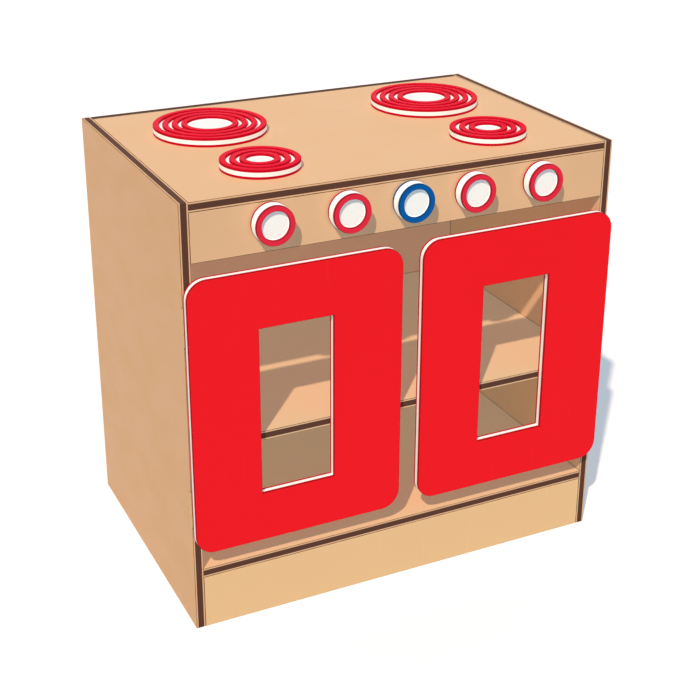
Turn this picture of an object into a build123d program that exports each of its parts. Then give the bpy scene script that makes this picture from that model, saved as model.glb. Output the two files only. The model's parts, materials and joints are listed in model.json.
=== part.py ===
from build123d import *
from math import radians, tan
import os

# A child's play oven of three-layer plastic sheet, in millimetres.
# +X is to the right seen from the front, +Y to the back, +Z up.
# The origin is on the floor, at the middle of the footprint, knobs included.

os.makedirs("parts", exist_ok=True)

# ------------------------------------------------------------------ driving sizes

# Sheet stock: a coloured skin on each face of a core of another colour
sheet = 12.7
skin = 3.175
bite = 1.6                      # how far a routed groove goes into the core
groove_depth = skin + bite
ease = 0.6                      # small chamfer on every edge that a hand can reach

# Carcass
carcass_width = 609.6
carcass_depth = 406.4
carcass_height = 590.55
kick_height = 76.2
shelf_top = 270.5
control_height = 64.6

# Doors
door_seam = 1.0                 # between the carcass front and the back of a door
door_side_inset = 0.6
door_centre_gap = 29.2
door_top_gap = 17.5
door_bottom_gap = 31.0
door_corner = 25.4
window_stile_left = 91.4
window_stile_right = 97.0
window_rail_bottom = 69.2
window_rail_top = 76.0

# Burners: large ones behind, small ones in front
large_burner = 76.9             # radius
small_burner = 51.4             # radius
burner_side_inset = 139.7       # burner centre from the outside of the carcass
large_burner_back_inset = 139.7
small_burner_front_inset = 88.9
ring_edge = 7.94                # plain rim outside the first groove
ring_groove = 4.76
ring_land = 7.94                # raised ring between two grooves
large_groove_count = 3
small_groove_count = 2

# Knobs, of a thicker sheet of the same kind
knob_radius = 25.4
knob_thickness = 19.05
knob_recess = 18.4              # radius
knob_end_inset = 114.3          # outer knob from the outside of the carcass
knob_pair_spacing = 101.6       # outer knob to inner knob, one for each burner of that side

# Knob spindles
glide_thickness = 0.7
glide_radius = 9.0
back_washer_thickness = 1.6
back_washer_radius = 7.5
end_play = 0.1
spindle_radius = 3.0
spindle_grip = 9.0              # length of screw held in the insert
spindle_head_radius = 5.5
spindle_head_height = 3.6
socket_radius = 2.3             # across the corners of the hexagon socket
socket_depth = 2.0
insert_radius = 4.6
insert_length = 10.5
running_gap = 0.08              # radial, spindle in its bore and pin in its knuckle
press_gap = 0.05                # radial, a pressed or screwed piece in its hole

# Hinges
hinge_length = 50.8
hinge_inset = 62.0              # hinge middle from the end of the door
leaf_thickness = 1.0
leaf_width = 11.0
knuckle_radius = 2.0
knuckle_gap = 0.3
hinge_pin_radius = 1.0
hinge_pin_head = 0.8
hinge_screw_spread = 32.0
hinge_screw_radius = 1.4
hinge_screw_head_radius = 2.6
frame_screw_length = 16.0
door_screw_length = 10.0
screw_cone_angle = 82.0
drive_length = 3.0              # cross recess in a screw head
drive_width = 0.7
drive_depth = 0.9

# Magnets in the shelf edge, strikes in the doors
magnet_radius = 5.0
magnet_length = 7.0
magnet_inset = 36.0             # magnet centre from the free edge of a door
strike_radius = 6.0
strike_thickness = 1.5

# Burner screws, from below
burner_screw_radius = 2.1
burner_screw_grip = 6.0
burner_screw_head_radius = 4.0
burner_screw_head_height = 2.6
burner_screw_spread = 44.0

# Dowels between the boards and the sides
dowel_radius = 3.175
dowel_cover = 3.7               # sheet left between a dowel and the outside
dowel_grip = 19.0               # length of dowel in the edge of a board
dowel_inset = 42.0              # first dowel from the front or back of a level board
strip_dowel_inset = 18.0        # first dowel from the long edge of a narrow strip
back_dowel_inset = 70.0         # first dowel from the end of the back panel
tip_gap = 0.3

# ------------------------------------------------------------------ worked out from them

outer_x = carcass_width / 2
inner_x = outer_x - sheet
inside_width = 2 * inner_x
side_middle_x = outer_x - sheet / 2

knob_gap = glide_thickness + end_play
knob_reach = knob_gap + knob_thickness
back_y = (carcass_depth + knob_reach) / 2
front_y = back_y - carcass_depth
panel_back_y = front_y + sheet
rear_face_y = back_y - sheet
level_depth = rear_face_y - front_y
level_middle_y = (front_y + rear_face_y) / 2
strip_middle_y = front_y + sheet / 2
rear_middle_y = back_y - sheet / 2

top_underside = carcass_height - sheet
control_bottom = top_underside - control_height
bottom_top = kick_height + sheet
shelf_bottom = shelf_top - sheet

door_back_y = front_y - door_seam
door_outer_x = outer_x - door_side_inset
door_inner_x = door_centre_gap / 2
door_width = door_outer_x - door_inner_x
door_bottom = bottom_top + door_bottom_gap
door_top = control_bottom - door_top_gap
door_height = door_top - door_bottom
window_width = door_width - window_stile_left - window_stile_right
window_height = door_height - window_rail_bottom - window_rail_top

knob_z = (control_bottom + carcass_height) / 2
knob_back_y = front_y - knob_gap
knob_front_y = knob_back_y - knob_thickness
spindle_shoulder_y = panel_back_y + back_washer_thickness + end_play
spindle_length = spindle_shoulder_y - knob_back_y + spindle_grip
outer_knob_x = outer_x - knob_end_inset
inner_knob_x = outer_knob_x - knob_pair_spacing
knob_places = {
    "outer_left_knob": -outer_knob_x,
    "inner_left_knob": -inner_knob_x,
    "centre_knob": 0.0,
    "inner_right_knob": inner_knob_x,
    "outer_right_knob": outer_knob_x,
}
knob_centres = [(x, knob_z) for x in knob_places.values()]

burner_x = outer_x - burner_side_inset
large_burner_y = back_y - large_burner_back_inset
small_burner_y = front_y + small_burner_front_inset
burner_places = {
    "back_left_burner": (-burner_x, large_burner_y, large_burner, large_groove_count),
    "front_left_burner": (-burner_x, small_burner_y, small_burner, small_groove_count),
    "back_right_burner": (burner_x, large_burner_y, large_burner, large_groove_count),
    "front_right_burner": (burner_x, small_burner_y, small_burner, small_groove_count),
}
burner_screw_places = [
    (x + sign * burner_screw_spread / 2, y)
    for x, y, radius, grooves in burner_places.values()
    for sign in (-1, 1)
]

hinge_y = front_y - door_seam / 2
hinge_heights = {"lower": door_bottom + hinge_inset, "upper": door_top - hinge_inset}
knuckle_length = (hinge_length - 2 * knuckle_gap) / 3
knuckle_room = knuckle_radius + knuckle_gap
cone_slope = tan(radians(screw_cone_angle / 2))
hinge_screw_head_height = (hinge_screw_head_radius - hinge_screw_radius) / cone_slope

magnet_x = door_inner_x + magnet_inset
magnet_z = (shelf_bottom + shelf_top) / 2
magnet_front_y = door_back_y + end_play

dowel_side_depth = sheet - dowel_cover
level_dowels = [front_y + dowel_inset, level_middle_y, rear_face_y - dowel_inset]
rear_step = (carcass_height - 2 * back_dowel_inset) / 3
dowel_places = {
    "top_panel": [(y, carcass_height - sheet / 2) for y in level_dowels],
    "middle_shelf": [(y, magnet_z) for y in level_dowels],
    "bottom_board": [(y, kick_height + sheet / 2) for y in level_dowels],
    "back_panel": [(rear_middle_y, back_dowel_inset + n * rear_step) for n in range(4)],
    "control_panel": [
        (strip_middle_y, control_bottom + strip_dowel_inset),
        (strip_middle_y, top_underside - strip_dowel_inset),
    ],
    "kick_board": [
        (strip_middle_y, strip_dowel_inset),
        (strip_middle_y, kick_height - strip_dowel_inset),
    ],
}
all_dowels = [place for places in dowel_places.values() for place in places]


# ------------------------------------------------------------------ shared steps

def save(part, name):
    """Label a finished piece and write it under its name."""
    part.label = name
    export_step(part, f"parts/{name}.step")


def cut_dowel_holes(face_x, depth, places):
    """Bore dowel holes from the plane x = face_x, along +X for a positive depth."""
    with BuildSketch(Plane.YZ.offset(face_x)) as mouths:
        with Locations(*places):
            Circle(dowel_radius + press_gap)
    extrude(mouths.sketch, amount=depth, mode=Mode.SUBTRACT)


def cut_end_dowels(places):
    """Bore both ends of a board that stands between the sides."""
    cut_dowel_holes(-inner_x, dowel_grip + tip_gap, places)
    cut_dowel_holes(inner_x, -dowel_grip - tip_gap, places)


def hinge_screw_planes(side, toward):
    """Head planes of one side's hinge screws; toward is +1 into the frame, -1 into the door."""
    x = side * side_middle_x
    y = hinge_y + toward * door_seam / 2
    heights = [z + sign * hinge_screw_spread / 2 for z in hinge_heights.values() for sign in (-1, 1)]
    return [Plane(origin=(x, y, z), x_dir=(1, 0, 0), z_dir=(0, -toward, 0)) for z in heights]


def cut_hinge_screws(side, toward, length):
    """Countersunk holes of one side's hinge screws."""
    with Locations(*hinge_screw_planes(side, toward)):
        CounterSinkHole(
            radius=hinge_screw_radius + press_gap,
            counter_sink_radius=hinge_screw_head_radius + press_gap,
            depth=length + tip_gap,
            counter_sink_angle=screw_cone_angle,
        )


def cut_hinge_seats(side, toward):
    """Mortises for the leaves, and room for the knuckles, on one side."""
    seat_y = hinge_y + toward * (door_seam + leaf_thickness) / 2
    for z in hinge_heights.values():
        with BuildSketch(Plane.XY.offset(z - hinge_length / 2 - press_gap)) as seat:
            with Locations((side * outer_x, seat_y)):
                Rectangle(2 * (leaf_width + press_gap), leaf_thickness)
            with Locations((side * outer_x, hinge_y)):
                Circle(knuckle_room)
        extrude(seat.sketch, amount=hinge_length + hinge_pin_head + 2 * press_gap, mode=Mode.SUBTRACT)


def cut_cross_drives(plane, places, way):
    """Cross recesses in the screw heads that end at a plane; way is +1 into its positive side."""
    with BuildSketch(plane) as crosses:
        for length, width in ((drive_length, drive_width), (drive_width, drive_length)):
            with Locations(*places):
                Rectangle(length, width)
    extrude(crosses.sketch, amount=way * drive_depth, mode=Mode.SUBTRACT)


# ------------------------------------------------------------------ carcass

def make_side_panel(side, name):
    """A side panel, with its dowel holes and the seats of its hinges."""
    low_x = min(side * outer_x, side * inner_x)
    with BuildPart() as panel:
        with BuildSketch(Plane.YZ.offset(low_x)):
            with Locations(((front_y + back_y) / 2, carcass_height / 2)):
                Rectangle(carcass_depth, carcass_height)
        extrude(amount=sheet)
        chamfer(panel.edges(), length=ease)
        cut_dowel_holes(side * inner_x, side * (dowel_side_depth + tip_gap), all_dowels)
        cut_hinge_seats(side, 1)
        cut_hinge_screws(side, 1, frame_screw_length)
    save(panel.part, name)


make_side_panel(-1, "left_side_panel")
make_side_panel(1, "right_side_panel")

with BuildPart() as top_panel:
    with BuildSketch(Plane.XY.offset(top_underside)):
        with Locations((0, level_middle_y)):
            Rectangle(inside_width, level_depth)
    extrude(amount=sheet)
    chamfer(top_panel.edges(), length=ease)
    cut_end_dowels(dowel_places["top_panel"])
    with BuildSketch(Plane.XY.offset(top_underside)):
        with Locations(*burner_screw_places):
            Circle(burner_screw_radius + press_gap)
    extrude(amount=sheet, mode=Mode.SUBTRACT)
save(top_panel.part, "top_panel")

with BuildPart() as middle_shelf:
    with BuildSketch(Plane.XY.offset(shelf_bottom)):
        with Locations((0, level_middle_y)):
            Rectangle(inside_width, level_depth)
    extrude(amount=sheet)
    chamfer(middle_shelf.edges(), length=ease)
    cut_end_dowels(dowel_places["middle_shelf"])
    with BuildSketch(Plane.XZ.offset(-magnet_front_y)):
        with Locations((-magnet_x, magnet_z), (magnet_x, magnet_z)):
            Circle(magnet_radius + press_gap)
    extrude(amount=-magnet_length, mode=Mode.SUBTRACT)
save(middle_shelf.part, "middle_shelf")

with BuildPart() as bottom_board:
    with BuildSketch(Plane.XY.offset(kick_height)):
        with Locations((0, level_middle_y)):
            Rectangle(inside_width, level_depth)
    extrude(amount=sheet)
    chamfer(bottom_board.edges(), length=ease)
    cut_end_dowels(dowel_places["bottom_board"])
save(bottom_board.part, "bottom_board")

with BuildPart() as back_panel:
    with BuildSketch(Plane.XZ.offset(-back_y)):
        with Locations((0, carcass_height / 2)):
            Rectangle(inside_width, carcass_height)
    extrude(amount=sheet)
    chamfer(back_panel.edges(), length=ease)
    cut_end_dowels(dowel_places["back_panel"])
save(back_panel.part, "back_panel")

with BuildPart() as control_panel:
    with BuildSketch(Plane.XZ.offset(-panel_back_y)):
        with Locations((0, (control_bottom + top_underside) / 2)):
            Rectangle(inside_width, control_height)
    extrude(amount=sheet)
    chamfer(control_panel.edges(), length=ease)
    with BuildSketch(Plane.XZ.offset(-panel_back_y)):
        with Locations(*knob_centres):
            Circle(spindle_radius + running_gap)
    extrude(amount=sheet, mode=Mode.SUBTRACT)
    cut_end_dowels(dowel_places["control_panel"])
save(control_panel.part, "control_panel")

with BuildPart() as kick_board:
    with BuildSketch(Plane.XZ.offset(-panel_back_y)):
        with Locations((0, kick_height / 2)):
            Rectangle(inside_width, kick_height)
    extrude(amount=sheet)
    chamfer(kick_board.edges(), length=ease)
    cut_end_dowels(dowel_places["kick_board"])
save(kick_board.part, "kick_board")

with BuildPart() as board_dowels:
    for side in (-1, 1):
        with BuildSketch(Plane.YZ.offset(side * (inner_x - dowel_grip))):
            with Locations(*all_dowels):
                Circle(dowel_radius)
        extrude(amount=side * (dowel_grip + dowel_side_depth))
save(board_dowels.part, "board_dowels")


# ------------------------------------------------------------------ burners

def make_burner(name, x, y, radius, grooves):
    """A disc whose ring grooves and round centre are routed through the skin."""
    with BuildPart() as burner:
        with BuildSketch(Plane.XY.offset(carcass_height)):
            with Locations((x, y)):
                Circle(radius)
        extrude(amount=sheet)
        with BuildSketch(Plane.XY.offset(carcass_height + sheet)):
            with Locations((x, y)):
                for n in range(grooves):
                    outside = radius - ring_edge - n * (ring_groove + ring_land)
                    Circle(outside)
                    Circle(outside - ring_groove, mode=Mode.SUBTRACT)
                Circle(radius - ring_edge - grooves * (ring_groove + ring_land))
        extrude(amount=-groove_depth, mode=Mode.SUBTRACT)
        levels = burner.faces().filter_by(Axis.Z).group_by(Axis.Z)
        chamfer(levels[0].edges() + levels[-1].edges(), length=ease)
        with BuildSketch(Plane.XY.offset(carcass_height)):
            with Locations(*[place for place in burner_screw_places if place[1] == y and place[0] * x > 0]):
                Circle(burner_screw_radius + press_gap)
        extrude(amount=burner_screw_grip + tip_gap, mode=Mode.SUBTRACT)
    save(burner.part, name)


for name, (x, y, radius, grooves) in burner_places.items():
    make_burner(name, x, y, radius, grooves)

with BuildPart() as burner_screws:
    with BuildSketch(Plane.XY.offset(top_underside)):
        with Locations(*burner_screw_places):
            Circle(burner_screw_head_radius)
    extrude(amount=-burner_screw_head_height)
    with BuildSketch(Plane.XY.offset(top_underside)):
        with Locations(*burner_screw_places):
            Circle(burner_screw_radius)
    extrude(amount=sheet + burner_screw_grip)
    cut_cross_drives(Plane.XY.offset(top_underside - burner_screw_head_height), burner_screw_places, 1)
save(burner_screws.part, "burner_screws")


# ------------------------------------------------------------------ knobs

def make_knob(name, x):
    """A knob, the insert pressed into its back and the screw on which it turns."""
    with BuildPart() as knob:
        with BuildSketch(Plane.XZ.offset(-knob_back_y)):
            with Locations((x, knob_z)):
                Circle(knob_radius)
        extrude(amount=knob_thickness)
        with BuildSketch(Plane.XZ.offset(-knob_front_y)):
            with Locations((x, knob_z)):
                Circle(knob_recess)
        extrude(amount=-groove_depth, mode=Mode.SUBTRACT)
        levels = knob.faces().filter_by(Axis.Y).group_by(Axis.Y)
        chamfer(levels[0].edges() + levels[-1].edges(), length=ease)
        with BuildSketch(Plane.XZ.offset(-knob_back_y)):
            with Locations((x, knob_z)):
                Circle(insert_radius + press_gap)
        extrude(amount=insert_length, mode=Mode.SUBTRACT)
    save(knob.part, name)

    with BuildPart() as insert:
        with BuildSketch(Plane.XZ.offset(-knob_back_y)):
            with Locations((x, knob_z)):
                Circle(insert_radius)
                Circle(spindle_radius + press_gap, mode=Mode.SUBTRACT)
        extrude(amount=insert_length)
    save(insert.part, f"{name}_insert")

    with BuildPart() as screw:
        with BuildSketch(Plane.XZ.offset(-spindle_shoulder_y)):
            with Locations((x, knob_z)):
                Circle(spindle_radius)
        extrude(amount=spindle_length)
        with BuildSketch(Plane.XZ.offset(-spindle_shoulder_y)):
            with Locations((x, knob_z)):
                Circle(spindle_head_radius)
        extrude(amount=-spindle_head_height)
        with BuildSketch(Plane.XZ.offset(-spindle_shoulder_y - spindle_head_height)):
            with Locations((x, knob_z)):
                RegularPolygon(socket_radius, 6)
        extrude(amount=socket_depth, mode=Mode.SUBTRACT)
    save(screw.part, f"{name}_screw")


for name, x in knob_places.items():
    make_knob(name, x)

with BuildPart() as knob_glide_washers:
    with BuildSketch(Plane.XZ.offset(-front_y)):
        with Locations(*knob_centres):
            Circle(glide_radius)
        with Locations(*knob_centres):
            Circle(spindle_radius + running_gap, mode=Mode.SUBTRACT)
    extrude(amount=glide_thickness)
save(knob_glide_washers.part, "knob_glide_washers")

with BuildPart() as knob_back_washers:
    with BuildSketch(Plane.XZ.offset(-panel_back_y)):
        with Locations(*knob_centres):
            Circle(back_washer_radius)
        with Locations(*knob_centres):
            Circle(spindle_radius + running_gap, mode=Mode.SUBTRACT)
    extrude(amount=-back_washer_thickness)
save(knob_back_washers.part, "knob_back_washers")


# ------------------------------------------------------------------ doors

def make_door(side, name):
    """A door with rounded corners and a square-cornered window; both doors are cut alike."""
    left_x = -door_outer_x if side < 0 else door_inner_x
    window_x = left_x + window_stile_left + window_width / 2
    window_z = door_bottom + window_rail_bottom + window_height / 2
    with BuildPart() as door:
        with BuildSketch(Plane.XZ.offset(-door_back_y)):
            with Locations((left_x + door_width / 2, (door_bottom + door_top) / 2)):
                RectangleRounded(door_width, door_height, door_corner)
            with Locations((window_x, window_z)):
                Rectangle(window_width, window_height, mode=Mode.SUBTRACT)
        extrude(amount=sheet)
        chamfer(door.faces().filter_by(Axis.Y).edges(), length=ease)
        with BuildSketch(Plane.XZ.offset(-door_back_y)):
            with Locations((side * magnet_x, magnet_z)):
                Circle(strike_radius + press_gap)
        extrude(amount=strike_thickness, mode=Mode.SUBTRACT)
        cut_hinge_seats(side, -1)
        cut_hinge_screws(side, -1, door_screw_length)
    save(door.part, f"{name}_door")

    with BuildPart() as strike:
        with BuildSketch(Plane.XZ.offset(-door_back_y)):
            with Locations((side * magnet_x, magnet_z)):
                Circle(strike_radius)
        extrude(amount=strike_thickness)
    save(strike.part, f"{name}_door_strike")


make_door(-1, "left")
make_door(1, "right")

with BuildPart() as door_magnets:
    with BuildSketch(Plane.XZ.offset(-magnet_front_y)):
        with Locations((-magnet_x, magnet_z), (magnet_x, magnet_z)):
            Circle(magnet_radius)
    extrude(amount=-magnet_length)
save(door_magnets.part, "door_magnets")


# ------------------------------------------------------------------ hinges

def make_leaf(side, toward, z, own_knuckles, name):
    """One leaf, with its screw holes; own_knuckles are the numbers of its knuckles, from below."""
    low_z = z - hinge_length / 2
    with BuildPart() as leaf:
        with BuildSketch(Plane.XY.offset(low_z)):
            with Locations((side * outer_x, hinge_y)):
                Circle(knuckle_radius)
            with Locations(
                (side * (outer_x - leaf_width / 2), hinge_y + toward * (door_seam + leaf_thickness) / 2)
            ):
                Rectangle(leaf_width, leaf_thickness)
            with Locations((side * outer_x, hinge_y)):
                Circle(hinge_pin_radius + running_gap, mode=Mode.SUBTRACT)
        extrude(amount=hinge_length)
        for number in range(3):
            if number not in own_knuckles:
                step = knuckle_length + knuckle_gap
                with BuildSketch(Plane.XY.offset(low_z + number * step - knuckle_gap)):
                    with Locations((side * outer_x, hinge_y)):
                        Circle(knuckle_room)
                extrude(amount=knuckle_length + 2 * knuckle_gap, mode=Mode.SUBTRACT)
        cut_hinge_screws(side, toward, hinge_length)
    save(leaf.part, name)


def make_hinge(side, side_name, height_name, z):
    """Frame leaf, door leaf and pin of one hinge."""
    name = f"{height_name}_{side_name}_hinge"
    make_leaf(side, 1, z, (0, 2), f"{name}_frame_leaf")
    make_leaf(side, -1, z, (1,), f"{name}_door_leaf")
    with BuildPart() as pin:
        with BuildSketch(Plane.XY.offset(z - hinge_length / 2)):
            with Locations((side * outer_x, hinge_y)):
                Circle(hinge_pin_radius)
        extrude(amount=hinge_length)
        with BuildSketch(Plane.XY.offset(z + hinge_length / 2)):
            with Locations((side * outer_x, hinge_y)):
                Circle(knuckle_radius)
        extrude(amount=hinge_pin_head)
    save(pin.part, f"{name}_pin")


for side, side_name in ((-1, "left"), (1, "right")):
    for height_name, z in hinge_heights.items():
        make_hinge(side, side_name, height_name, z)


def make_hinge_screw(length):
    """A countersunk screw, its head's top on the XY plane, pointing down."""
    with BuildPart() as screw:
        with BuildSketch(Plane.XZ):
            with BuildLine():
                Polyline(
                    (0, 0),
                    (hinge_screw_head_radius, 0),
                    (hinge_screw_radius, -hinge_screw_head_height),
                    (hinge_screw_radius, -length),
                    (0, -length),
                    close=True,
                )
            make_face()
        revolve(axis=Axis.Z)
        cut_cross_drives(Plane.XY, [(0, 0)], -1)
    return screw.part


frame_screw = make_hinge_screw(frame_screw_length)
door_screw = make_hinge_screw(door_screw_length)

with BuildPart() as hinge_frame_screws:
    with Locations(*hinge_screw_planes(-1, 1), *hinge_screw_planes(1, 1)):
        add(frame_screw)
save(hinge_frame_screws.part, "hinge_frame_screws")

with BuildPart() as left_door_hinge_screws:
    with Locations(*hinge_screw_planes(-1, -1)):
        add(door_screw)
save(left_door_hinge_screws.part, "left_door_hinge_screws")

with BuildPart() as right_door_hinge_screws:
    with Locations(*hinge_screw_planes(1, -1)):
        add(door_screw)
save(right_door_hinge_screws.part, "right_door_hinge_screws")
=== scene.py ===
import bmesh
import bpy
import json
from math import pi, radians
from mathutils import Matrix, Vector


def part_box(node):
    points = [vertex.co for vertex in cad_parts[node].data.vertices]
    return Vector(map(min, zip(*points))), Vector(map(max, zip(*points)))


# A child's play oven of three-layer plastic sheet. Everything is in metres, in the part's frame.

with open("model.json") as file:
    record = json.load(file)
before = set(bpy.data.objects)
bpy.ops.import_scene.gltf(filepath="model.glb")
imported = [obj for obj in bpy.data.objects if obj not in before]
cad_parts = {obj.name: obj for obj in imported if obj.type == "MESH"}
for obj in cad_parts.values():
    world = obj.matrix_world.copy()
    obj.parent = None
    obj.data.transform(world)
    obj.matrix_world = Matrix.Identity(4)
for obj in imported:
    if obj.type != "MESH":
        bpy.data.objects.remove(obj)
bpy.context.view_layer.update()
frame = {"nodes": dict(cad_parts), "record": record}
nodes = frame["nodes"]

# ------------------------------------------------------------------ sheet stock

# A skin on each face of a core, as deep as it looks at a cut edge
SKIN = 0.0024
BACK_SKIN = 0.0010              # the back panel's, whose top edge is nearly all core
DOOR_SKIN = 0.0036              # the doors' and the burners'
KNOB_SKIN = 0.0039
SEAM_BLUR = 0.00006             # half the width of the line between skin and core
WAVER = 0.00012                 # how far that line wanders

# Where a surface stops being the face of the sheet and starts being a cut
FACE_MARGIN = 0.00008
FACE_BLUR = 0.00004
ARRIS_WIDTH = 0.0008            # the eased arris, with a painted shade line darker than the sheet
ARRIS_BLUR = 0.0002

# A painted shade hairline in the corners where two boards meet, and along the lower edge of the
# control panel's front
JOINT_WIDTH = 0.0011
JOINT_BLUR = 0.0002
JOINT_SHARE = 0.45
PANEL_LINE_SHARE = 0.70

SHEET_IOR = 1.53
SHEET_SHINE = 0.04
BURNER_SHINE = 0.02
FACE_ROUGHNESS = (0.40, 0.52)   # from clean to smeared
SCUFF_ROUGHNESS = 0.12          # added where the sheet is scuffed
CUT_ROUGHNESS = 0.6
GRAIN_DEPTH = 0.00012           # of the orange peel and of the cutter marks
GRAIN_STRENGTH = 0.9

# How fine each pattern is, in cells a metre
SEAM_WAVES = 28
CLOUDS = 5
FLECKS = 900
SCUFFS = 22
SCUFF_PATCHES = 4
ARRIS_SHADE_PATCHES = 55
CUTTER_MARKS = 700
PEEL = 800
SMEARS = 14

# How strongly each pattern shows
CLOUD_SHARE = 0.05
FLECK_SHARE = 0.05
CORE_FLECK_SHARE = 0.08
SCUFF_SHARE = 0.10
ARRIS_SHARE = (0.72, 0.94)      # from fainter to stronger

TAN = (0.720, 0.440, 0.245)
BOARD_TANS = {                  # each board's tan, several set for how light falls on it
    "top_panel": TAN,
    # painted shade: the left side panel is darker in green and blue, for the light on its outer
    # face
    "left_side_panel": (0.713, 0.415, 0.222),
    # painted light: the right side and back panels are paler in green and blue, against the warm
    # shade inside the oven
    "right_side_panel": (0.708, 0.460, 0.268),
    "back_panel": (0.695, 0.488, 0.297),
    "control_panel": (0.715, 0.460, 0.262),
    # painted light: the shelf is paler in green and blue, for its sunlit patch and its shade inside
    # the oven
    "middle_shelf": (0.680, 0.465, 0.272),
    "bottom_board": (0.715, 0.445, 0.252),
    "kick_board": (0.795, 0.538, 0.279),
}
TAN_CORE = (0.098, 0.045, 0.031)
# painted shade: the back panel's core is darker, against the light from above on its top edge
BACK_CORE = (0.066, 0.032, 0.020)
RED = (0.858, 0.0115, 0.0195)
KNOB_RED = (0.755, 0.0247, 0.0555)
BURNER_RED = (0.732, 0.004, 0.025)
BLUE = (0.001, 0.103, 0.370)
WHITE_CORE = (0.860, 0.855, 0.820)
KNOB_WHITE = (0.935, 0.975, 0.925)
# painted shade colours of the arris lines and of the hairlines where boards meet
ARRIS_BROWN = (0.100, 0.055, 0.030)
ARRIS_RED = (0.170, 0.003, 0.008)
ARRIS_BURNER = (0.500, 0.003, 0.016)
ARRIS_BLUE = (0.001, 0.022, 0.085)

# How pale a skin looks where it is cut, against its face; on the doors, burners and knobs it is
# darker, as painted shade along the cut edges
BOARD_EDGE = 1.05
DOOR_EDGE = 0.55
BURNER_EDGE = 0.6
KNOB_EDGE = 0.5

DOORS = ("left_door", "right_door")
BURNERS = ("back_left_burner", "front_left_burner", "back_right_burner", "front_right_burner")
RED_KNOBS = ("outer_left_knob", "inner_left_knob", "inner_right_knob", "outer_right_knob")
BLUE_KNOB = "centre_knob"


# ------------------------------------------------------------------ material helpers

class Nodes:
    """A short way to add and join the nodes of one material."""

    def __init__(self, name):
        self.material = bpy.data.materials.new(name)
        self.material.use_nodes = True
        self.tree = self.material.node_tree
        self.shader = self.tree.nodes["Principled BSDF"]
        self.place = self.add("ShaderNodeTexCoord").outputs["Object"]

    def add(self, kind, inputs=None, **settings):
        """Add a node, set its options, and set or link its inputs by name or number."""
        node = self.tree.nodes.new(kind)
        for key, value in settings.items():
            setattr(node, key, value)
        for key, value in (inputs or {}).items():
            self.put(node.inputs[key], value)
        return node

    def put(self, socket, value):
        """Link a socket, or set its value."""
        if isinstance(value, bpy.types.NodeSocket):
            self.tree.links.new(value, socket)
        elif isinstance(value, tuple) and len(value) == 3 and len(socket.default_value) == 4:
            socket.default_value = (*value, 1.0)
        else:
            socket.default_value = value

    def math(self, operation, *values):
        """One Math node."""
        node = self.add("ShaderNodeMath", dict(enumerate(values)), operation=operation)
        return node.outputs[0]

    def ramp(self, value, low, high, to_low=0.0, to_high=1.0):
        """A smooth change from one value to another as the input goes from low to high."""
        node = self.add(
            "ShaderNodeMapRange",
            {
                "Value": value,
                "From Min": low,
                "From Max": high,
                "To Min": to_low,
                "To Max": to_high,
            },
            interpolation_type="SMOOTHSTEP",
        )
        return node.outputs["Result"]

    def noise(self, scale, detail=2.0, stretch=(1.0, 1.0, 1.0)):
        """A noise pattern; scale is in cells a metre, and stretch multiplies it along each axis."""
        spot = self.add("ShaderNodeVectorMath", {0: self.place, 1: stretch}, operation="MULTIPLY")
        inputs = {"Vector": spot.outputs[0], "Scale": scale, "Detail": detail}
        return self.add("ShaderNodeTexNoise", inputs).outputs["Fac"]

    def mix(self, share, first, second):
        """Mix two colours."""
        node = self.add("ShaderNodeMix", data_type="RGBA")
        self.put(node.inputs[0], share)
        self.put(node.inputs[6], first)
        self.put(node.inputs[7], second)
        return node.outputs[2]

    def grey(self, value):
        """A number as a colour, so that mix can take it."""
        return self.add("ShaderNodeCombineColor", {0: value}).outputs[0]

    def number(self, colour):
        """The number that grey put in a colour."""
        return self.add("ShaderNodeSeparateColor", {0: colour}).outputs[0]

    def bump(self, height, distance, strength):
        """A bump of a height pattern; distance is its depth in metres."""
        inputs = {"Height": height, "Distance": distance, "Strength": strength}
        return self.add("ShaderNodeBump", inputs).outputs["Normal"]

    def finish(self, colour, roughness, normal=None, **fixed):
        """Feed the shader; fixed values go on its own sockets."""
        self.put(self.shader.inputs["Base Color"], colour)
        self.put(self.shader.inputs["Roughness"], roughness)
        if normal is not None:
            self.put(self.shader.inputs["Normal"], normal)
        for key, value in fixed.items():
            self.shader.inputs[key.replace("_", " ")].default_value = value
        return self.material


def shade(colour, factor, lift=0.0):
    """A colour made darker or lighter."""
    return tuple(min(1.0, factor * channel + lift) for channel in colour)


def dress(names, make):
    """Give each named CAD node the material that make returns for it."""
    for name in names:
        mesh = nodes[name].data
        mesh.materials.clear()
        mesh.materials.append(make(name))


def thin_axis(name):
    """The axis along a sheet's thickness, the sheet's middle on it and the thickness."""
    low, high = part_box(name)
    size = high - low
    axis = min(range(3), key=lambda k: size[k])
    return axis, (low[axis] + high[axis]) / 2, size[axis]


def joint_shade_lines():
    """For each board: the side its inner face is on, how dark its painted shade lines are, and the
    lines.

    A line starts at a place on an axis and runs one way from it.
    """
    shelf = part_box("middle_shelf")[1][2]
    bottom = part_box("bottom_board")[1][2]
    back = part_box("back_panel")[0][1]
    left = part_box("left_side_panel")[1][0]
    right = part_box("right_side_panel")[0][0]
    levels = ((2, shelf, 1), (2, bottom, 1))
    return {
        "control_panel": (-1, PANEL_LINE_SHARE, ((2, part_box("control_panel")[0][2], 1),)),
        "back_panel": (-1, JOINT_SHARE, (*levels, (0, left, 1), (0, right, -1))),
        "left_side_panel": (1, JOINT_SHARE, (*levels, (1, back, -1))),
        "right_side_panel": (-1, JOINT_SHARE, (*levels, (1, back, -1))),
    }


JOINT_SHADE_LINES = joint_shade_lines()


# ------------------------------------------------------------------ three-layer sheet

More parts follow.
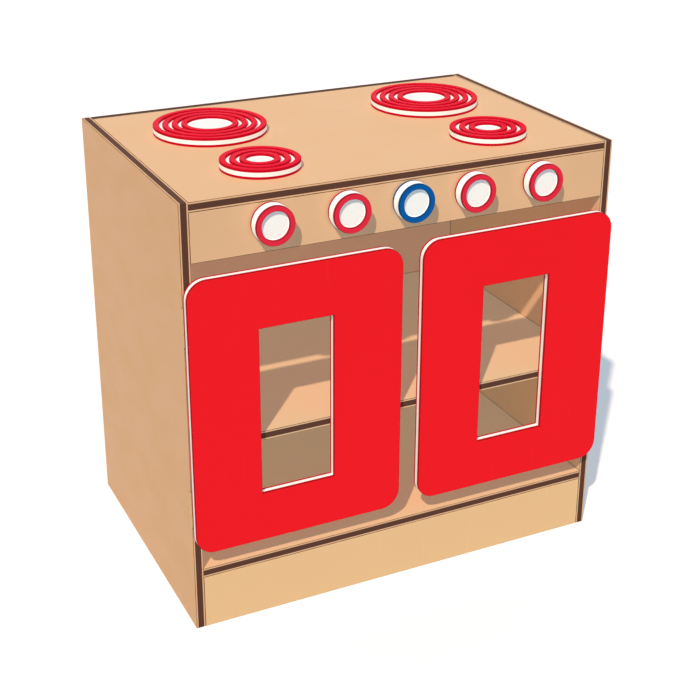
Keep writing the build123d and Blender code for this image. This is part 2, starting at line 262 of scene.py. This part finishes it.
def sheet_joint_shade(n, name, along, middle):
    """How dark the painted shade hairline is: 0 away from the board's lines and on its outer face.
    """
    side, share, lines = JOINT_SHADE_LINES[name]
    inwards = n.math("MULTIPLY", n.math("SUBTRACT", along, middle), side)
    inner = n.math("GREATER_THAN", inwards, 0.0)
    coordinates = n.add("ShaderNodeSeparateXYZ", {0: n.place}).outputs
    shown = 0.0
    for axis, start, way in lines:
        distance = n.math("MULTIPLY", n.math("SUBTRACT", coordinates[axis], start), way)
        line = n.ramp(distance, JOINT_WIDTH - JOINT_BLUR, JOINT_WIDTH, 1.0, 0.0)
        started = n.math("GREATER_THAN", distance, -JOINT_BLUR)
        shown = n.math("MAXIMUM", shown, n.math("MULTIPLY", line, started))
    return n.math("MULTIPLY", n.math("MULTIPLY", shown, inner), share)


def sheet_scuffs(n, axis):
    """A few light scuffs from use, which run along the sheet."""
    run = [7.0, 7.0, 7.0]
    run[(axis + 1) % 3] = 0.6
    scratches = n.ramp(n.noise(SCUFFS, 6, tuple(run)), 0.63, 0.68)
    patches = n.ramp(n.noise(SCUFF_PATCHES, 2), 0.42, 0.60)
    return n.math("MULTIPLY", scratches, patches)


def sheet_grain(n, axis, cut):
    """Orange peel on the faces, and cutter marks across the thickness on the cuts."""
    across = [1.0, 1.0, 1.0]
    across[axis] = 0.03
    marks = n.noise(CUTTER_MARKS, 2, tuple(across))
    peel = n.noise(PEEL, 3)
    height = n.number(n.mix(cut, n.grey(peel), n.grey(marks)))
    return n.bump(height, GRAIN_DEPTH, GRAIN_STRENGTH)


def sheet_roughness(n, cut, scuff):
    """The faces smoother than the cuts, smeared here and there, and duller where scuffed."""
    smear = n.noise(SMEARS, 4, (1.0, 1.0, 2.2))
    face = n.ramp(smear, 0.35, 0.7, *FACE_ROUGHNESS)
    face = n.math("ADD", face, n.math("MULTIPLY", scuff, SCUFF_ROUGHNESS))
    return n.math("MAXIMUM", face, n.math("MULTIPLY", cut, CUT_ROUGHNESS))


def sheet_material(
    name, skin_colour, core_colour, arris_colour, skin_depth, edge, shine=SHEET_SHINE
):
    """A sheet whose cut edges and routed floors show a core between two skins."""
    axis, middle, thickness = thin_axis(name)
    half = thickness / 2
    n = Nodes(f"{name}_sheet")
    along = n.add("ShaderNodeSeparateXYZ", {0: n.place}).outputs[axis]
    depth = n.math("ABSOLUTE", n.math("SUBTRACT", along, middle))
    cut = n.ramp(depth, half - FACE_MARGIN, half - FACE_BLUR, 1.0, 0.0)

    # the line between skin and core wanders a little along a cut edge
    waver = n.math("MULTIPLY", n.math("SUBTRACT", n.noise(SEAM_WAVES, 3), 0.5), WAVER)
    seam = n.math("ADD", depth, waver)
    core_half = half - skin_depth
    skin_share = n.ramp(seam, core_half - SEAM_BLUR, core_half + SEAM_BLUR)

    # broad, faint differences of tone in the skin, a finer fleck, scuffs, and the tone of its cut,
    # which is painted shade on the doors, burners and knobs
    cloud = n.noise(CLOUDS, 4)
    fleck = n.noise(FLECKS, 1)
    scuff = sheet_scuffs(n, axis)
    clouded = n.ramp(cloud, 0.35, 0.65, 0.0, CLOUD_SHARE)
    flecked = n.ramp(fleck, 0.45, 0.72, 0.0, FLECK_SHARE)
    skin = n.mix(clouded, skin_colour, shade(skin_colour, 0.82))
    skin = n.mix(flecked, skin, shade(skin_colour, 1.2))
    skin = n.mix(n.math("MULTIPLY", scuff, SCUFF_SHARE), skin, shade(skin_colour, 1.3, 0.02))
    # the cut skin's tone; darker on the doors, burners and knobs as painted shade
    skin = n.mix(cut, skin, shade(skin_colour, edge))
    core_fleck = n.ramp(fleck, 0.3, 0.7, 0.0, CORE_FLECK_SHARE)
    core = n.mix(core_fleck, core_colour, shade(core_colour, 0.8))
    colour = n.mix(skin_share, core, skin)

    # a painted shade line where the cut meets the face, stronger in some places than others
    arris_start = half - ARRIS_WIDTH
    arris = n.math("MULTIPLY", n.ramp(depth, arris_start, arris_start + ARRIS_BLUR), cut)
    arris_shade_strength = n.ramp(n.noise(ARRIS_SHADE_PATCHES, 4), 0.32, 0.58, *ARRIS_SHARE)
    colour = n.mix(n.math("MULTIPLY", arris, arris_shade_strength), colour, arris_colour)

    # painted shade hairlines where the board meets others, and along the control panel's lower edge
    if name in JOINT_SHADE_LINES:
        colour = n.mix(sheet_joint_shade(n, name, along, middle), colour, arris_colour)

    roughness = sheet_roughness(n, cut, scuff)
    return n.finish(
        colour, roughness, sheet_grain(n, axis, cut), IOR=SHEET_IOR, Specular_IOR_Level=shine
    )


def board(name):
    """A tan board; the back panel's top edge is nearly all core."""
    back = name == "back_panel"
    # painted shade: the back panel gets the darker core
    core = BACK_CORE if back else TAN_CORE
    skin_depth = BACK_SKIN if back else SKIN
    return sheet_material(name, BOARD_TANS[name], core, ARRIS_BROWN, skin_depth, BOARD_EDGE)


def door(name):
    """A red door with a white core."""
    return sheet_material(name, RED, WHITE_CORE, ARRIS_RED, DOOR_SKIN, DOOR_EDGE)


def burner(name):
    """A red burner, whose rings stand between grooves in the white core."""
    return sheet_material(
        name, BURNER_RED, WHITE_CORE, ARRIS_BURNER, DOOR_SKIN, BURNER_EDGE, BURNER_SHINE
    )


def red_knob(name):
    """A red knob, hollowed down to the white core."""
    return sheet_material(name, KNOB_RED, KNOB_WHITE, ARRIS_RED, KNOB_SKIN, KNOB_EDGE)


def blue_knob(name):
    """The blue knob, hollowed like the red ones."""
    return sheet_material(name, BLUE, KNOB_WHITE, ARRIS_BLUE, KNOB_SKIN, KNOB_EDGE)


dress(BOARD_TANS, board)
dress(DOORS, door)
dress(BURNERS, burner)
dress(RED_KNOBS, red_knob)
dress([BLUE_KNOB], blue_knob)


# ------------------------------------------------------------------ hardware

STEEL_DARK, STEEL_LIGHT = (0.50, 0.50, 0.51), (0.62, 0.62, 0.63)
BRASS_DARK, BRASS_LIGHT = (0.54, 0.375, 0.190), (0.60, 0.425, 0.220)
BRASS_DULL = (0.50, 0.335, 0.160)
NICKEL_DARK, NICKEL_LIGHT = (0.60, 0.59, 0.57), (0.68, 0.67, 0.65)
NYLON_COLOUR = (0.85, 0.83, 0.77)
DOWEL_COLOUR = (0.69, 0.67, 0.60)


def steel():
    """Plain stainless steel, faintly brushed."""
    n = Nodes("stainless_steel")
    streak = n.noise(900, 3, (1.0, 1.0, 0.05))
    colour = n.mix(n.ramp(streak, 0.3, 0.7), STEEL_DARK, STEEL_LIGHT)
    roughness = n.ramp(streak, 0.3, 0.7, 0.26, 0.40)
    return n.finish(colour, roughness, n.bump(streak, 0.00003, 0.5), Metallic=1.0)


def brass():
    """Plain brass, drawn along the hinge and dulled in patches."""
    n = Nodes("brass")
    streak = n.noise(1400, 3, (1.0, 1.0, 0.04))
    dull = n.noise(120, 3)
    colour = n.mix(n.ramp(streak, 0.3, 0.7), BRASS_DARK, BRASS_LIGHT)
    colour = n.mix(n.ramp(dull, 0.45, 0.75, 0.0, 0.5), colour, BRASS_DULL)
    drawn = n.ramp(streak, 0.3, 0.7, 0.28, 0.38)
    roughness = n.math("ADD", drawn, n.ramp(dull, 0.4, 0.7, 0.0, 0.1))
    return n.finish(colour, roughness, n.bump(streak, 0.00002, 0.5), Metallic=1.0)


def plating():
    """Bright nickel plating of the magnets."""
    n = Nodes("nickel_plating")
    haze = n.noise(400, 3)
    colour = n.mix(n.ramp(haze, 0.3, 0.7), NICKEL_DARK, NICKEL_LIGHT)
    return n.finish(colour, n.ramp(haze, 0.3, 0.7, 0.12, 0.24), Metallic=1.0)


def pale_plastic(name, colour):
    """Plain moulded plastic of the small hidden pieces."""
    n = Nodes(name)
    grain = n.noise(1200, 2)
    tone = n.mix(n.ramp(grain, 0.3, 0.7, 0.0, 0.12), colour, shade(colour, 0.8))
    return n.finish(tone, n.ramp(grain, 0.3, 0.7, 0.40, 0.55), n.bump(grain, 0.00004, 0.4))


SLOT_MATERIALS = {
    "stainless_steel": steel(),
    "plain_brass": brass(),
    "magnet_plating": plating(),
    "nylon_washer": pale_plastic("nylon", NYLON_COLOUR),
    "dowel_plastic": pale_plastic("dowel_plastic", DOWEL_COLOUR),
}
for entry in frame["record"]["subparts"]:
    if entry["material_slot"] in SLOT_MATERIALS:
        dress([entry["node"]], lambda name, slot=entry["material_slot"]: SLOT_MATERIALS[slot])


# ------------------------------------------------------------------ studio

FLOOR_SIZE = 30.0
FLOOR_SEEN = (1.0, 0.93, 0.90)
FLOOR_BOUNCE = (0.30, 0.30, 0.30)
AMBIENT = 0.26                  # strength of the white world as it lights the oven
WHITE = 1.0                     # its strength where it is seen

SUN_COLOUR = (1.232, 1.000, 0.788)
SUN_STRENGTH = 2.50
SUN_DIRECTION = (0.452, 0.522, -0.723)
SUN_ANGLE = 1.3                 # degrees across, for the softness of its shadows

FILL_STRENGTH = pi              # at which a white face takes the lamp's own colour
FILLS = (                       # name, the way it shines, colour
    ("fill_front", (0, 1, 0), (0.180, 0.225, 0.295)),
    ("fill_back", (0, -1, 0), (0.305, 0.285, 0.262)),
    ("fill_left", (1, 0, 0), (0.130, 0.200, 0.240)),
    ("fill_right", (-1, 0, 0), (0.285, 0.280, 0.270)),
    ("fill_above", (0, 0, -1), (0.185, 0.315, 0.440)),
    ("fill_below", (0, 0, 1), (0.150, 0.300, 0.280)),
)

CAMERA_PLACE = (-0.7790, -1.6170, 1.1079)
CAMERA_TILT = 67.957            # degrees from straight down
CAMERA_TURN = -25.346           # degrees about the vertical
CAMERA_LENS = 70.24             # millimetres, as is the sensor
CAMERA_SENSOR = 36.0
CAMERA_SHIFT = (0.0221, -0.1099)


def seen_share(tree):
    """1 for rays that a camera, a mirror or a window sees, 0 for light that bounces."""
    path = tree.nodes.new("ShaderNodeLightPath")
    share = path.outputs["Is Camera Ray"]
    for name in ("Is Glossy Ray", "Is Transmission Ray"):
        either = tree.nodes.new("ShaderNodeMath")
        either.operation = "MAXIMUM"
        tree.links.new(share, either.inputs[0])
        tree.links.new(path.outputs[name], either.inputs[1])
        share = either.outputs[0]
    return share


def floor_material():
    """White where it is seen, and grey to the light that bounces off it."""
    material = bpy.data.materials.new("studio_floor")
    material.use_nodes = True
    tree = material.node_tree
    tree.nodes.clear()
    diffuse = tree.nodes.new("ShaderNodeBsdfDiffuse")
    mix = tree.nodes.new("ShaderNodeMix")
    mix.data_type = "RGBA"
    mix.inputs[6].default_value = (*FLOOR_BOUNCE, 1)
    mix.inputs[7].default_value = (*FLOOR_SEEN, 1)
    tree.links.new(seen_share(tree), mix.inputs[0])
    tree.links.new(mix.outputs[2], diffuse.inputs["Color"])
    output = tree.nodes.new("ShaderNodeOutputMaterial")
    tree.links.new(diffuse.outputs[0], output.inputs["Surface"])
    return material


def make_floor():
    """A wide pale floor that fills the view."""
    shape = bmesh.new()
    bmesh.ops.create_grid(shape, x_segments=1, y_segments=1, size=FLOOR_SIZE / 2)
    mesh = bpy.data.meshes.new("studio_floor")
    shape.to_mesh(mesh)
    shape.free()
    floor = bpy.data.objects.new("studio_floor", mesh)
    bpy.context.scene.collection.objects.link(floor)
    mesh.materials.append(floor_material())


def make_world():
    """Even white light from all round; a brighter white where it is seen."""
    world = bpy.data.worlds.new("studio")
    bpy.context.scene.world = world
    world.use_nodes = True
    tree = world.node_tree
    background = tree.nodes["Background"]
    background.inputs["Color"].default_value = (1, 1, 1, 1)
    strength = tree.nodes.new("ShaderNodeMapRange")
    strength.inputs["To Min"].default_value = AMBIENT
    strength.inputs["To Max"].default_value = WHITE
    tree.links.new(seen_share(tree), strength.inputs["Value"])
    tree.links.new(strength.outputs["Result"], background.inputs["Strength"])


def make_lamp(name, direction, colour, energy):
    """A lamp that shines evenly in one direction."""
    lamp = bpy.data.lights.new(name, "SUN")
    lamp.energy = energy
    lamp.color = colour
    light = bpy.data.objects.new(name, lamp)
    light.rotation_euler = Vector(direction).to_track_quat("-Z", "Y").to_euler()
    bpy.context.scene.collection.objects.link(light)
    return light


def make_lights():
    """The main light, from the front left and above, and an even fill from all six sides.

    The fill casts no shadows of its own, so that it reaches into the compartments.
    """
    key = make_lamp("key_light", SUN_DIRECTION, SUN_COLOUR, SUN_STRENGTH)
    key.data.angle = radians(SUN_ANGLE)
    for name, direction, colour in FILLS:
        fill = make_lamp(name, direction, colour, FILL_STRENGTH)
        fill.data.use_shadow = False
        fill.visible_glossy = False


def make_camera():
    """The photograph's viewpoint."""
    lens = bpy.data.cameras.new("camera")
    lens.lens = CAMERA_LENS
    lens.sensor_width = CAMERA_SENSOR
    lens.shift_x, lens.shift_y = CAMERA_SHIFT
    camera = bpy.data.objects.new("camera", lens)
    camera.location = CAMERA_PLACE
    camera.rotation_euler = (radians(CAMERA_TILT), 0.0, radians(CAMERA_TURN))
    bpy.context.scene.collection.objects.link(camera)
    bpy.context.scene.camera = camera


make_floor()
make_world()
make_lights()
make_camera()
bpy.context.scene.view_settings.view_transform = "Standard"
